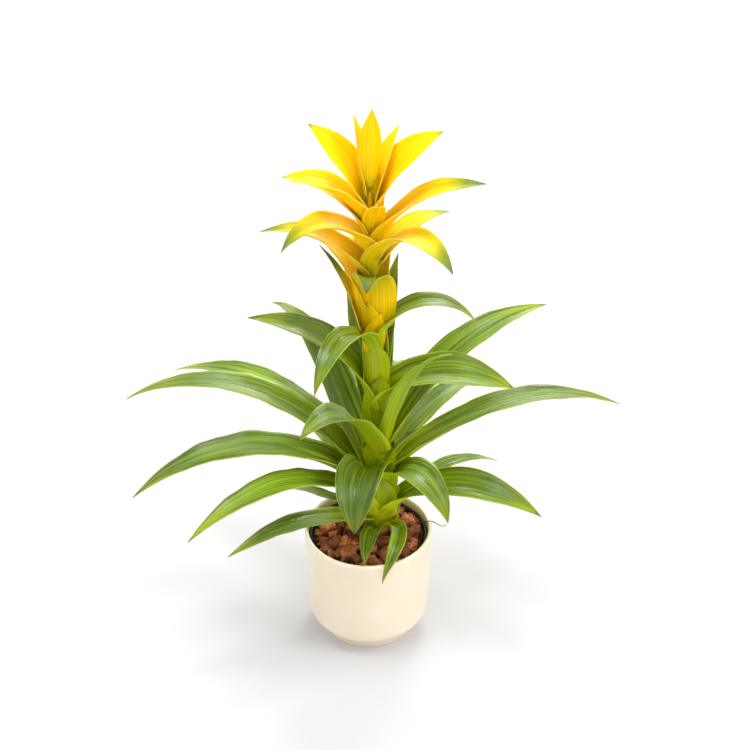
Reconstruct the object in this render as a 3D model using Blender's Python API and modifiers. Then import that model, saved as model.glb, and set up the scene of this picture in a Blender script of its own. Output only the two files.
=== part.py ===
"""A potted bromeliad: a flowering rosette in bark, in a plastic nursery pot inside a glazed cover pot.

Blender 4.5, metres, +Z up. The origin is the centre of the cover pot's foot, on the surface it stands on.
Each leaf and bract is an open strip placed along its own midrib and given its thickness by Solidify.
"""
import math
from collections import namedtuple

import bmesh
import bpy
from mathutils import Matrix, Vector

MM = 0.001
MERGE = 0.0001
CLEARANCE = 0.3 * MM          # between pieces that rest on or in one another

# Cover pot
POT_HEIGHT = 120 * MM
POT_RIM_RADIUS = 64.5 * MM
POT_SHOULDER_RADIUS = 62 * MM
POT_SHOULDER_HEIGHT = 27 * MM
POT_SHOULDER_ROUND = 16 * MM
POT_FOOT_RADIUS = 48 * MM
POT_WALL = 4 * MM
POT_FLOOR = 6 * MM
FOOT_HEIGHT = 5 * MM
FOOT_FLARE = 1 * MM           # how far the foot widens up to the shoulder
FOOT_EDGE = 1 * MM            # bevel where the foot meets the ground
LIP_ROUND = 1.2 * MM
ROUND_STEPS = 48

# Nursery pot that stands inside it
LINER_HEIGHT = 106 * MM
LINER_TOP_RADIUS = 58.5 * MM
LINER_BASE_RADIUS = 40 * MM
LINER_WALL = 1.2 * MM

# Bark mix
SOIL_LEVEL = 110 * MM         # surface of the bark
STEM_DEPTH = 25 * MM
HOLE_RISE = 10 * MM           # how far the tool that cuts the stem's hole stands above the bark

# Flower stem, which leans a little to the left as it rises
STEM_FOOT = Vector((0.012, 0.006, SOIL_LEVEL))
STEM_TIP = Vector((0.002, 0.005, 0.478))
STEM_RADIUS = 6.5 * MM
STEM_TIP_RADIUS = 2.5 * MM
STEM_SIDES = 12

# Blades
LEAF_THICKNESS = 1.0 * MM
BRACT_THICKNESS = 0.8 * MM
BLADE_STEPS = 14              # strips along the blade
TIP_WIDTH = 1.6 * MM
LEAF_BASE_WIDTH = 9 * MM
BRACT_BASE_WIDTH = 6 * MM
STEM_GAP = 0.8 * MM

# azimuth: degrees from +X, seen from above; height: of its base above the bark, mm; length and width: mm;
# rise and droop: slope of the midrib at the base and at the tip, degrees; bend: above 1, the curve comes late;
# swing: degrees that the blade turns sideways towards its tip; roll: degrees that it tips over at its tip
Blade = namedtuple("Blade", "name azimuth height length width rise droop bend swing roll")

LEAVES = (
    Blade("leaf_01", 210, 14, 165, 26, 28, -22, 1.2, 0, 0),
    Blade("leaf_02", 215, 22, 240, 34, 62, -36, 1.0, 0, 0),
    Blade("leaf_03", 198, 41, 272, 42, 57, -42, 1.1, 0, 0),
    Blade("leaf_04", 177, 46, 294, 38, 61, -38, 1.4, 0, 0),
    Blade("leaf_05", 146, 34, 300, 36, 62, -32, 0.85, 0, 0),
    Blade("leaf_06", 185, 136, 176, 34, 86, 0, 1.0, 0, -30),
    Blade("leaf_07", 144, 58, 216, 40, 64, -40, 6.0, 0, 0),
    Blade("leaf_08", 240, 204, 134, 26, 80, -70, 0.95, 0, 0),
    Blade("leaf_09", 225, 90, 136, 42, 72, -42, 1.8, 0, 0),
    Blade("leaf_10", 242, 60, 126, 44, 80, -104, 1.1, 30, 0),
    Blade("leaf_11", 252, 3, 74, 18, 58, -50, 1.0, 12, 0),
    Blade("leaf_12", 312, 7, 102, 15, 47, -85, 1.2, -105, 0),
    Blade("leaf_13", 162, 20, 112, 12, 14, 0, 1.0, 0, 0),
    Blade("leaf_14", 8, 70, 258, 32, 42, -30, 1.4, 0, 0),
    Blade("leaf_15", 46, 74, 172, 28, 40, -22, 1.2, 0, 0),
    Blade("leaf_16", 22, 92, 230, 36, 66, -4, 1.3, 0, 20),
    Blade("leaf_17", -58, 88, 214, 20, 74, 24, 1.8, 0, 0),
    Blade("leaf_18", -10, 148, 146, 42, 84, -26, 0.55, 0, 30),
    Blade("leaf_19", -16, 80, 64, 18, 66, 40, 1.3, 0, 0),
    Blade("leaf_20", -50, 53, 128, 38, 72, -78, 1.2, 0, 0),
    Blade("leaf_21", -25, 19, 188, 36, 62, -32, 1.0, 0, 32),
    Blade("leaf_22", 34, 16, 158, 18, 42, -40, 1.0, 0, 0),
    Blade("leaf_23", 0, 212, 124, 28, 86, -62, 1.0, 0, 0),
    Blade("leaf_24", 114, 112, 168, 28, 74, 30, 3.0, 0, 0),
    Blade("leaf_25", 67, 158, 140, 22, 82, 50, 1.5, 0, 0),
    Blade("leaf_26", 78, 126, 134, 22, 78, -30, 3.0, 0, 0),
    Blade("leaf_27", 104, 30, 240, 36, 50, -40, 1.1, 0, 0),
    Blade("leaf_28", 84, 46, 230, 36, 50, -45, 1.1, 0, 0),
    Blade("leaf_29", 118, 6, 190, 34, 44, -45, 1.1, 0, 0),
    Blade("leaf_30", 60, 52, 200, 34, 56, -50, 1.1, 0, 0),
)

BRACTS = (
    Blade("bract_01", 290, 374, 70, 19, 89, 86, 1.0, 0, 0),
    Blade("bract_02", 152, 360, 76, 16, 84, 78, 1.0, 0, 0),
    Blade("bract_03", 172, 342, 100, 30, 76, 32, 1.5, 0, -40),
    Blade("bract_04", 4, 338, 106, 30, 80, 18, 1.3, 0, 40),
    Blade("bract_05", 38, 352, 76, 17, 84, 50, 1.0, 0, 0),
    Blade("bract_06", 163, 322, 104, 26, 77, -18, 1.0, 0, -20),
    Blade("bract_07", 209, 333, 98, 26, 66, 8, 1.0, 0, 0),
    Blade("bract_08", 282, 320, 62, 18, 76, 10, 2.0, 0, 0),
    Blade("bract_09", -16, 315, 126, 28, 67, 2, 1.0, 0, 15),
    Blade("bract_10", 198, 302, 106, 34, 82, -62, 1.0, 0, 0),
    Blade("bract_11", 172, 284, 114, 28, 60, -20, 1.0, 0, 0),
    Blade("bract_12", -40, 290, 116, 30, 84, -58, 1.0, 0, 0),
    Blade("bract_13", 36, 294, 96, 24, 54, -14, 1.0, 0, 0),
    Blade("bract_14", 163, 188, 134, 16, 80, 44, 2.0, 0, 0),
    Blade("bract_15", 260, 228, 94, 36, 88, -115, 4.0, 0, 0),
    Blade("bract_16", 78, 322, 88, 16, 78, 20, 1.2, 0, 0),
    Blade("bract_17", 90, 274, 100, 30, 74, -30, 1.2, 0, 0),
    Blade("bract_18", 134, 252, 104, 30, 76, -30, 1.2, 0, 0),
    Blade("bract_19", 88, 222, 70, 24, 82, 20, 1.2, 0, 0),
)

FULL_FROM, FULL_TO = 0.35, 0.5         # the stretch along a blade where it is widest
TIP_BLUNTNESS = 0.8                    # below 1, the tip stays wide for longer
LEAF_CHANNEL, BRACT_CHANNEL = 28, 24   # how far its two halves fold up near the base, degrees

# Larger bark chips: x, y, turn in degrees, length, width, thickness in mm
CHIPS = (
    (-42, 8, 20, 15, 12, 8),
    (-34, -20, 65, 14, 10, 8),
    (-20, -34, 10, 16, 13, 8),
    (22, -32, 40, 13, 10, 7),
    (38, -10, 75, 17, 12, 9),
    (40, 14, 15, 14, 11, 8),
)


def clear_scene():
    for old in list(bpy.data.objects):
        bpy.data.objects.remove(old, do_unlink=True)


def new_collection(name):
    collection = bpy.data.collections.new(name)
    bpy.context.scene.collection.children.link(collection)
    return collection


def principled(name, colour, roughness, metallic=0.0):
    material = bpy.data.materials.new(name)
    material.use_nodes = True
    shader = material.node_tree.nodes["Principled BSDF"]
    shader.inputs["Base Color"].default_value = (*colour, 1.0)
    shader.inputs["Roughness"].default_value = roughness
    shader.inputs["Metallic"].default_value = metallic
    return material


def add_object(name, mesh, material, collection):
    piece = bpy.data.objects.new(name, mesh)
    collection.objects.link(piece)
    mesh.materials.append(material)
    return piece


def turned(name, profile, material, collection):
    """A solid of revolution: profile is (radius, height) from the top, down the outer side, and back inside."""
    mesh = bpy.data.meshes.new(name)
    count = len(profile)
    mesh.from_pydata([(r, 0.0, z) for r, z in profile], [(i, i + 1) for i in range(count - 1)], [])
    piece = add_object(name, mesh, material, collection)
    screw = piece.modifiers.new("turn", "SCREW")
    screw.steps = screw.render_steps = ROUND_STEPS
    screw.use_merge_vertices = True
    screw.merge_threshold = MERGE
    screw.use_smooth_shade = True
    return piece


def quarter_round(centre_r, centre_z, radius, start, end, steps=3):
    """Points on an arc about (centre_r, centre_z), from one angle to the other in degrees."""
    angles = [math.radians(start + (end - start) * i / steps) for i in range(steps + 1)]
    return [(centre_r + radius * math.cos(a), centre_z + radius * math.sin(a)) for a in angles]


def make_cover_pot(collection):
    inner_rim = POT_RIM_RADIUS - POT_WALL
    inner_shoulder = POT_SHOULDER_RADIUS - POT_WALL
    inner_foot = POT_FOOT_RADIUS - POT_WALL
    profile = [(0.0, POT_FLOOR), (inner_foot, POT_FLOOR), (inner_shoulder, POT_SHOULDER_HEIGHT)]
    profile += [(inner_rim, POT_HEIGHT - LIP_ROUND)]
    profile += quarter_round(inner_rim + LIP_ROUND, POT_HEIGHT - LIP_ROUND, LIP_ROUND, 180, 90)
    profile += quarter_round(POT_RIM_RADIUS - LIP_ROUND, POT_HEIGHT - LIP_ROUND, LIP_ROUND, 90, 0)
    profile += quarter_round(POT_SHOULDER_RADIUS - POT_SHOULDER_ROUND, POT_SHOULDER_HEIGHT,
                             POT_SHOULDER_ROUND, 0, -52, 4)
    profile += [(POT_FOOT_RADIUS + FOOT_FLARE, FOOT_HEIGHT), (POT_FOOT_RADIUS, FOOT_EDGE)]
    profile += [(POT_FOOT_RADIUS - FOOT_EDGE, 0.0), (0.0, 0.0)]
    glaze = principled("cream_glaze", (0.86, 0.76, 0.57), 0.35)
    turned("cover_pot", profile, glaze, collection)


def liner_radius(height):
    """Outer radius of the nursery pot at a height above its base."""
    return LINER_BASE_RADIUS + (LINER_TOP_RADIUS - LINER_BASE_RADIUS) * height / LINER_HEIGHT


def make_nursery_pot(collection):
    base = POT_FLOOR + CLEARANCE
    top = base + LINER_HEIGHT
    profile = [(0.0, base + LINER_WALL), (LINER_BASE_RADIUS - LINER_WALL, base + LINER_WALL)]
    profile += [(LINER_TOP_RADIUS - LINER_WALL, top), (LINER_TOP_RADIUS, top)]
    profile += [(LINER_BASE_RADIUS, base), (0.0, base)]
    plastic = principled("dark_plastic", (0.03, 0.028, 0.026), 0.5)
    turned("nursery_pot", profile, plastic, collection)


def stem_point(height):
    """The stem's axis at a height above the bark."""
    rise = STEM_TIP.z - STEM_FOOT.z
    return STEM_FOOT.lerp(STEM_TIP, height / rise)


def stem_radius(height):
    rise = STEM_TIP.z - STEM_FOOT.z
    return STEM_RADIUS + (STEM_TIP_RADIUS - STEM_RADIUS) * height / rise


def make_bark_mix(collection, cutters):
    floor = POT_FLOOR + CLEARANCE + LINER_WALL
    gap = LINER_WALL + CLEARANCE
    low = floor + CLEARANCE
    profile = [(0.0, SOIL_LEVEL), (liner_radius(SOIL_LEVEL - floor) - gap, SOIL_LEVEL)]
    profile += [(liner_radius(low - floor) - gap, low), (0.0, low)]
    bark = principled("bark_mix", (0.10, 0.045, 0.022), 0.9)
    mix = turned("bark_mix", profile, bark, collection)

    bm = bmesh.new()
    radius = stem_radius(-STEM_DEPTH) + CLEARANCE
    depth = STEM_DEPTH + CLEARANCE + HOLE_RISE
    bmesh.ops.create_cone(bm, cap_ends=True, segments=STEM_SIDES, radius1=radius, radius2=radius, depth=depth)
    lean = (STEM_TIP - STEM_FOOT).to_track_quat("Z", "Y").to_matrix().to_4x4()
    middle = stem_point(HOLE_RISE - depth / 2)
    bm.transform(Matrix.Translation(middle) @ lean)
    mesh = bpy.data.meshes.new("stem_hole")
    bm.to_mesh(mesh)
    bm.free()
    hole = bpy.data.objects.new("stem_hole", mesh)
    cutters.objects.link(hole)
    hole.hide_render = True
    hole.display_type = "WIRE"
    cut = mix.modifiers.new("stem_hole", "BOOLEAN")
    cut.operation = "DIFFERENCE"
    cut.object = hole


def make_stem(collection):
    low, high = -STEM_DEPTH, STEM_TIP.z - STEM_FOOT.z
    bm = bmesh.new()
    bmesh.ops.create_cone(bm, cap_ends=True, segments=STEM_SIDES, radius1=stem_radius(low),
                          radius2=stem_radius(high), depth=high - low)
    lean = (STEM_TIP - STEM_FOOT).to_track_quat("Z", "Y").to_matrix().to_4x4()
    bm.transform(Matrix.Translation(stem_point((low + high) / 2)) @ lean)
    mesh = bpy.data.meshes.new("flower_stem")
    bm.to_mesh(mesh)
    bm.free()
    mesh.shade_smooth()
    mesh.set_sharp_from_angle(angle=math.radians(40))
    add_object("flower_stem", mesh, principled("stem_green", (0.22, 0.33, 0.05), 0.5), collection)


def blade_frames(blade, thickness):
    """Position, side and upper direction of the midrib at each step of a blade."""
    step = blade.length * MM / BLADE_STEPS
    height = blade.height * MM
    heading = math.radians(blade.azimuth)
    outward = Vector((math.cos(heading), math.sin(heading), 0.0))
    point = stem_point(height) + outward * (stem_radius(height) + STEM_GAP + thickness / 2)
    frames = []
    for i in range(BLADE_STEPS + 1):
        along = i / BLADE_STEPS
        pitch = math.radians(blade.rise + (blade.droop - blade.rise) * along ** blade.bend)
        turn = math.radians(blade.azimuth + blade.swing * along)
        roll = math.radians(blade.roll * along)
        forward = Vector((math.cos(pitch) * math.cos(turn), math.cos(pitch) * math.sin(turn), math.sin(pitch)))
        side = Vector((-math.sin(turn), math.cos(turn), 0.0))
        upper = forward.cross(side)
        side, upper = (side * math.cos(roll) + upper * math.sin(roll),
                       upper * math.cos(roll) - side * math.sin(roll))
        frames.append((point.copy(), side, upper))
        point = point + forward * step
    return frames


def blade_width(blade, along, base_width):
    """Width along the blade: narrow at the stem, full for the middle stretch, pointed at the tip."""
    full = blade.width * MM
    if along < FULL_FROM:
        grown = along / FULL_FROM
        return base_width + (full - base_width) * grown * grown * (3 - 2 * grown)
    closing = math.cos(math.pi / 2 * max(0.0, along - FULL_TO) / (1 - FULL_TO)) ** TIP_BLUNTNESS
    return TIP_WIDTH + (full - TIP_WIDTH) * closing


def make_blade(blade, base_width, channel, thickness, material, collection):
    frames = blade_frames(blade, thickness)
    bm = bmesh.new()
    bmesh.ops.create_grid(bm, x_segments=BLADE_STEPS, y_segments=2, size=0.5)
    for vert in bm.verts:
        along, across = vert.co.x + 0.5, vert.co.y * 2
        point, side, upper = frames[round(along * BLADE_STEPS)]
        half = blade_width(blade, along, base_width) / 2
        fold = math.radians(channel) * (1 - along) * min(1.0, along * 4)
        vert.co = point + side * (across * half * math.cos(fold)) + upper * (abs(across) * half * math.sin(fold))
    mesh = bpy.data.meshes.new(blade.name)
    bm.to_mesh(mesh)
    bm.free()
    mesh.shade_smooth()
    piece = add_object(blade.name, mesh, material, collection)
    solid = piece.modifiers.new("thickness", "SOLIDIFY")
    solid.thickness = thickness
    solid.offset = 0.0


def make_chips(collection):
    bark = principled("bark_chip", (0.20, 0.085, 0.040), 0.9)
    for number, (x, y, turn, length, width, thick) in enumerate(CHIPS, start=1):
        bm = bmesh.new()
        bmesh.ops.create_cube(bm, size=1.0)
        bmesh.ops.scale(bm, vec=Vector((length, width, thick)) * MM, verts=bm.verts)
        place = Vector((x * MM, y * MM, SOIL_LEVEL + CLEARANCE + thick * MM / 2))
        bm.transform(Matrix.Translation(place) @ Matrix.Rotation(math.radians(turn), 4, "Z"))
        mesh = bpy.data.meshes.new(f"bark_chip_{number}")
        bm.to_mesh(mesh)
        bm.free()
        chip = add_object(f"bark_chip_{number}", mesh, bark, collection)
        edge = chip.modifiers.new("worn_edges", "BEVEL")
        edge.width = 1.2 * MM
        edge.segments = 1


def main():
    clear_scene()
    parts = new_collection("potted_bromeliad")
    cutters = new_collection("cutters")
    make_cover_pot(parts)
    make_nursery_pot(parts)
    make_bark_mix(parts, cutters)
    make_chips(parts)
    make_stem(parts)
    green = principled("leaf_green", (0.11, 0.24, 0.015), 0.35)
    yellow = principled("bract_yellow", (0.90, 0.55, 0.01), 0.4)
    for blade in LEAVES:
        make_blade(blade, LEAF_BASE_WIDTH, LEAF_CHANNEL, LEAF_THICKNESS, green, parts)
    for blade in BRACTS:
        make_blade(blade, BRACT_BASE_WIDTH, BRACT_CHANNEL, BRACT_THICKNESS, yellow, parts)


main()
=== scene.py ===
# %% [markdown]
# # A potted bromeliad
# The plant is a rosette of strap leaves round a stem that carries a spike of yellow bracts. It grows in bark, in a
# thin nursery pot that stands inside a glazed cover pot. The solid model of it is the frame: it is loaded first, and
# every visible piece below is made in its place.

# %% Load the frame
import math
from collections import namedtuple

import bmesh
import bpy
from mathutils import Matrix, Vector, noise


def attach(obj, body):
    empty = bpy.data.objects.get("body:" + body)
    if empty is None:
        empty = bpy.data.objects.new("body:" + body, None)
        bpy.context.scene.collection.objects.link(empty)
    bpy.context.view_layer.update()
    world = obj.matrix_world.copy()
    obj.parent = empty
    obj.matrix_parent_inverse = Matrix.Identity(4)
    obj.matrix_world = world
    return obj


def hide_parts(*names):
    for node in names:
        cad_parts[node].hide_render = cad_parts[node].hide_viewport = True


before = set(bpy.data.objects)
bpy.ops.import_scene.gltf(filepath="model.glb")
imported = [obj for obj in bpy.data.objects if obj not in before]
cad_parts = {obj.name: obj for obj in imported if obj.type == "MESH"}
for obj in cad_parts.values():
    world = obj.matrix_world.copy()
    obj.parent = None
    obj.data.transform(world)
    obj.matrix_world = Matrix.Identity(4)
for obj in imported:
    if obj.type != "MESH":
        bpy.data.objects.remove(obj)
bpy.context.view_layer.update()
MM = 0.001
print("nodes in the frame:", len(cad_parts))

# %% [markdown]
# ## Small helpers
# Colours are given as sRGB hex values, as in a paint program, but shaders work with linear light. One function turns
# the first into the second. Another adds a node to any tree, shader or geometry, and fills its inputs: a socket is
# linked, a node gives its first output, and anything else becomes the input's value. Inputs are named in a
# dictionary, or given in the node's own order.


# %% Colour and node helpers
def linear(hex_value):
    """An sRGB hex colour such as '#6a8c1f' as linear RGBA."""
    channels = [int(hex_value[i:i + 2], 16) / 255 for i in (1, 3, 5)]
    return (*[c / 12.92 if c <= 0.04045 else ((c + 0.055) / 1.055) ** 2.4 for c in channels], 1.0)


def fill(tree, node, inputs):
    """Links or sets a node's inputs."""
    for key, value in inputs.items() if isinstance(inputs, dict) else enumerate(inputs):
        if isinstance(value, bpy.types.Node):
            value = value.outputs[0]
        if isinstance(value, bpy.types.NodeSocket):
            tree.links.new(value, node.inputs[key])
        else:
            node.inputs[key].default_value = value


def add(tree, kind, inputs=(), stops=(), **settings):
    """Adds one node, sets its settings, and fills its inputs; stops are a ramp's (position, hex colour)."""
    node = tree.nodes.new(kind)
    for name, value in settings.items():
        setattr(node, name, value)
    fill(tree, node, inputs)
    if stops:
        elements = node.color_ramp.elements
        while len(elements) < len(stops):
            elements.new(0.5)
        for element, (position, colour) in zip(elements, stops):
            element.position = position
            element.color = linear(colour)
    return node


def new_tree(name, result, given):
    """An empty Geometry Nodes tree with named inputs (name, kind, value), and those inputs as sockets to link from."""
    tree = bpy.data.node_groups.new(name, "GeometryNodeTree")
    for title, kind, value in given:
        socket = tree.interface.new_socket(title, in_out="INPUT", socket_type="NodeSocket" + kind)
        if value is not None:
            socket.default_value = value
    tree.interface.new_socket(result, in_out="OUTPUT", socket_type="NodeSocketGeometry")
    return tree, add(tree, "NodeGroupInput").outputs


def new_finish(name):
    """An empty material with its Principled shader already wired to the output."""
    material = bpy.data.materials.new(name)
    material.use_nodes = True
    tree = material.node_tree
    tree.nodes.clear()
    shader = add(tree, "ShaderNodeBsdfPrincipled")
    add(tree, "ShaderNodeOutputMaterial", {"Surface": shader})
    return material, tree, shader


def link_piece(name, mesh):
    """Puts a mesh into the scene as an object at the origin."""
    piece = bpy.data.objects.new(name, mesh)
    bpy.context.scene.collection.objects.link(piece)
    return piece


def shaped_piece(name, bm, material):
    """A smooth piece with one finish, from a bmesh."""
    mesh = bpy.data.meshes.new(name)
    bm.to_mesh(mesh)
    bm.free()
    mesh.materials.append(material)
    mesh.shade_smooth()
    return link_piece(name, mesh)


def declare(piece, slot, *nodes):
    """Hangs a piece on the root body and hides the CAD nodes that it stands for; slot is not used."""
    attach(piece, "root")
    if nodes:
        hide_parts(*nodes)


print("helpers ready")

# %% [markdown]
# ## Leaf tissue
# A bromeliad leaf is smooth and waxy on top, so it mirrors the bright studio wherever it is seen at a low angle. Fine
# parallel veins run from base to tip and break that shine into streaks. The lower face is paler, duller and more
# yellow. The pattern is drawn in the blade's own measures, how far along it a point is and how far across, so the
# veins draw together towards the tip as they do on the leaf. An image could carry the veins too, but a pattern made
# from numbers stays sharp at any distance and differs from leaf to leaf.

# %% Vein pattern
VEIN_MM = 1.2  # real veins stand about 0.5 mm apart: drawn coarser so that they show
STREAK_LENGTH_MM = 70  # how far one streak of colour runs before it fades


def streaks(tree, spacing_mm, length_mm, detail=2.0):
    """Noise drawn out along the blade: lines spacing_mm apart that last for length_mm."""
    grain = add(tree, "ShaderNodeAttribute", attribute_name="grain").outputs["Vector"]
    stretched = add(tree, "ShaderNodeVectorMath", (grain, (1 / length_mm, 1 / spacing_mm, 1.0)), operation="MULTIPLY")
    return add(tree, "ShaderNodeTexNoise", {"Vector": stretched, "Scale": 1.0, "Detail": detail})


print("veins every", VEIN_MM, "mm")

# %% [markdown]
# ## The tissue finishes
# All blades share one recipe. A ramp gives the colour from base to tip, the streaks lighten and darken it, a pale
# line follows the margin, partly a paler edge and partly a painted highlight on the rim, and each blade has its own
# tone, a little lighter or darker than its neighbours. The leaf top gets a waxy coat. Light passes through all of
# them, which the subsurface share gives.


# %% Leaf and bract finishes
WANDER = 0.16  # how far a colour may run ahead along the blade, as a share of its length
HUE_SPREAD = 0.008  # the darkest and the lightest blade differ this much from the middle hue
MARGIN_FROM, MARGIN_TO = 0.476, 0.497  # the pale margin, partly a paler edge and partly a painted rim highlight, as a share of the width away from the midrib
MARGIN_SHARE = 0.45


def blade_finish(name, along_stops, margin, veins, gloss, glow, coat, relief_mm, tones=0.4, shine=0.5):
    """Leaf tissue.

    along_stops: colour from base to tip; veins: how strongly they show; gloss: range of roughness; glow: share of light
    that passes in; coat: wax; relief_mm: height of the veins; tones: spread between blades; shine: specular level
    """
    material, tree, shader = new_finish(name)
    place = add(tree, "ShaderNodeUVMap", uv_map="UVMap")
    split = add(tree, "ShaderNodeSeparateXYZ", (place,))
    tone = add(tree, "ShaderNodeAttribute", attribute_name="tone").outputs["Fac"]
    fine = streaks(tree, VEIN_MM, STREAK_LENGTH_MM * 2)
    broad = streaks(tree, VEIN_MM * 4, STREAK_LENGTH_MM, 3.0)
    cloudy = streaks(tree, VEIN_MM * 14, STREAK_LENGTH_MM / 2, 1.0)

    wander = add(tree, "ShaderNodeMath", (cloudy, WANDER, -WANDER / 2), operation="MULTIPLY_ADD")
    along = add(tree, "ShaderNodeMath", (split.outputs["X"], wander), operation="ADD")
    body = add(tree, "ShaderNodeValToRGB", {"Fac": along}, along_stops)
    hue = add(tree, "ShaderNodeMapRange", (tone, 0, 1, 0.5 + HUE_SPREAD, 0.5 - HUE_SPREAD))
    lightness = add(tree, "ShaderNodeMapRange", (tone, 0, 1, 1 - tones, 1 + tones))
    toned = add(tree, "ShaderNodeHueSaturation", {"Color": body, "Hue": hue, "Value": lightness})
    by_vein = add(tree, "ShaderNodeMapRange", (fine, 0.35, 0.65, 1 - veins, 1 + veins))
    by_streak = add(tree, "ShaderNodeMapRange", (broad, 0.3, 0.7, 1 - veins, 1 + veins))
    shade = add(tree, "ShaderNodeMath", (by_vein, by_streak), operation="MULTIPLY")
    veined = add(tree, "ShaderNodeVectorMath", {0: toned, "Scale": shade}, operation="SCALE")
    centred = add(tree, "ShaderNodeMath", (split.outputs["Y"], 0.5), operation="SUBTRACT")
    outwards = add(tree, "ShaderNodeMath", (centred,), operation="ABSOLUTE")
    # Painted highlight: the pale line along the margin is partly the blade's paler edge, partly the glint on its rim
    margin_and_rim_highlight = add(tree, "ShaderNodeMapRange", (outwards, MARGIN_FROM, MARGIN_TO, 0.0, MARGIN_SHARE))
    colour = add(tree, "ShaderNodeMix", {0: margin_and_rim_highlight, 6: veined, 7: linear(margin)}, data_type="RGBA")

    roughness = add(tree, "ShaderNodeMapRange", (broad, 0.3, 0.7, *gloss))
    ridges = add(tree, "ShaderNodeMath", (fine, broad), operation="ADD")
    relief = add(tree, "ShaderNodeBump", {"Height": ridges, "Strength": 0.9, "Distance": relief_mm * MM})
    fill(tree, shader, {
        "Base Color": colour.outputs[2], "Roughness": roughness, "Normal": relief, "IOR": 1.5,
        "Specular IOR Level": shine, "Coat Weight": coat, "Coat Roughness": 0.2, "Subsurface Weight": glow,
        "Subsurface Radius": (0.9, 1.0, 0.12), "Subsurface Scale": 1.5 * MM})
    return material


# Fresh waxy leaf: deep green on top, paler towards the stem, with a thin light margin that is partly a painted
# highlight
leaf_top = blade_finish(
    "leaf_upper_face_waxy",
    [(0.0, "#c4c408"), (0.14, "#a4b002"), (0.34, "#769000"), (0.78, "#5e7800"), (0.96, "#889a04"), (1.0, "#80682c")],
    "#bcc830", 0.40, (0.13, 0.58), 0.12, 0.08, 1.0, tones=0.45, shine=0.48)
# Its lower face: no wax shine, more yellow, lit through from above
leaf_back = blade_finish(
    "leaf_lower_face_matt",
    [(0.0, "#ccd004"), (0.2, "#b0c000"), (0.6, "#8eaa00"), (0.96, "#84a00c"), (1.0, "#80682c")],
    "#c2cc50", 0.16, (0.38, 0.52), 0.4, 0.0, 0.35)
# Bracts: yellow pigment with hardly any green left, satin, a little translucent
bract_gold = blade_finish(
    "bract_gold_satin",
    [(0.0, "#a4a40a"), (0.16, "#d6bc00"), (0.42, "#f6c800"), (0.96, "#f4c800"), (1.0, "#a8802a")],
    "#f0d468", 0.09, (0.48, 0.60), 0.3, 0.0, 0.3, tones=0.10, shine=0.12)
# Lower bracts keep leaf green in their tips
bract_green_tip = blade_finish(
    "bract_green_tipped_satin",
    [(0.0, "#a4a40a"), (0.16, "#d6bc00"), (0.42, "#f6c800"), (0.72, "#c8b600"), (0.86, "#7c8c14"), (0.97, "#66784a"),
     (1.0, "#6e5a38")],
    "#ecd868", 0.11, (0.44, 0.58), 0.3, 0.0, 0.3, tones=0.10, shine=0.16)
print("leaf and bract finishes:", [m.name for m in (leaf_top, leaf_back, bract_gold, bract_green_tip)])

# %% [markdown]
# ## Where the blades stand
# Each blade starts on the stem and follows its own midrib. A row gives where it leaves the stem, how long and wide it
# is, how steeply it rises, how far it droops and how it twists. These are the same rows that the solid model was made
# from, so each visible blade lies on its solid. Hanging every leaf by hand with a curve would work as well, but the
# rows can be read and changed one number at a time.

# %% Blade rows
STEM_FOOT, STEM_TIP = Vector((0.012, 0.006, 0.110)), Vector((0.002, 0.005, 0.478))
STEM_RADIUS, STEM_TIP_RADIUS = 6.5 * MM, 2.5 * MM
STEM_GAP = 0.8 * MM
CAD_STEPS = 14  # the solids take this many straight steps along each midrib

# azimuth: degrees from +X; height of the base above the bark, length and width in mm; rise and droop: slope at the
# base and at the tip; bend: above 1 the curve comes late; swing: sideways turn; roll: how far it tips over. Where a
# row stops early, bend is 1 and there is no swing or roll
Blade = namedtuple("Blade", "name azimuth height length width rise droop bend swing roll", defaults=(1.0, 0.0, 0.0))
LEAVES = """
01 210  14 165 26 28  -22  1.2
02 215  22 240 34 62  -36
03 198  41 272 42 57  -42  1.1
04 177  46 294 38 61  -38  1.4
05 146  34 300 36 62  -32 0.85
06 185 136 176 34 86    0  1.0    0 -30
07 144  58 216 40 64  -40  6.0
08 240 204 134 26 80  -70 0.95
09 225  90 136 42 72  -42  1.8
10 242  60 126 44 80 -104  1.1   30   0
11 252   3  74 18 58  -50  1.0   12   0
12 312   7 102 15 47  -85  1.2 -105   0
13 162  20 112 12 14    0
14   8  70 258 32 42  -30  1.4
15  46  74 172 28 40  -22  1.2
16  22  92 230 36 66   -4  1.3    0  20
17 -58  88 214 20 74   24  1.8
18 -10 148 146 42 84  -26 0.55    0  30
19 -16  80  64 18 66   40  1.3
20 -50  53 128 38 72  -78  1.2
21 -25  19 188 36 62  -32  1.0    0  32
22  34  16 158 18 42  -40
23   0 212 124 28 86  -62
24 114 112 168 28 74   30  3.0
25  67 158 140 22 82   50  1.5
26  78 126 134 22 78  -30  3.0
27 104  30 240 36 50  -40  1.1
28  84  46 230 36 50  -45  1.1
29 118   6 190 34 44  -45  1.1
30  60  52 200 34 56  -50  1.1
"""
BRACTS = """
01 290 374  70 19 89   86
02 152 360  76 16 84   78
03 172 342 100 30 76   32 1.5 0 -40
04   4 338 106 30 80   18 1.3 0  40
05  38 352  76 17 84   50
06 163 322 104 26 77  -18 1.0 0 -20
07 209 333  98 26 66    8
08 282 320  62 18 76   10 2.0
09 -16 315 126 28 67    2 1.0 0  15
10 198 302 106 34 82  -62
11 172 284 114 28 60  -20
12 -40 290 116 30 84  -58
13  36 294  96 24 54  -14
14 163 188 134 16 80   44 2.0
15 260 228  94 36 88 -115 4.0
16  78 322  88 16 78   20 1.2
17  90 274 100 30 74  -30 1.2
18 134 252 104 30 76  -30 1.2
19  88 222  70 24 82   20 1.2
"""


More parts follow.
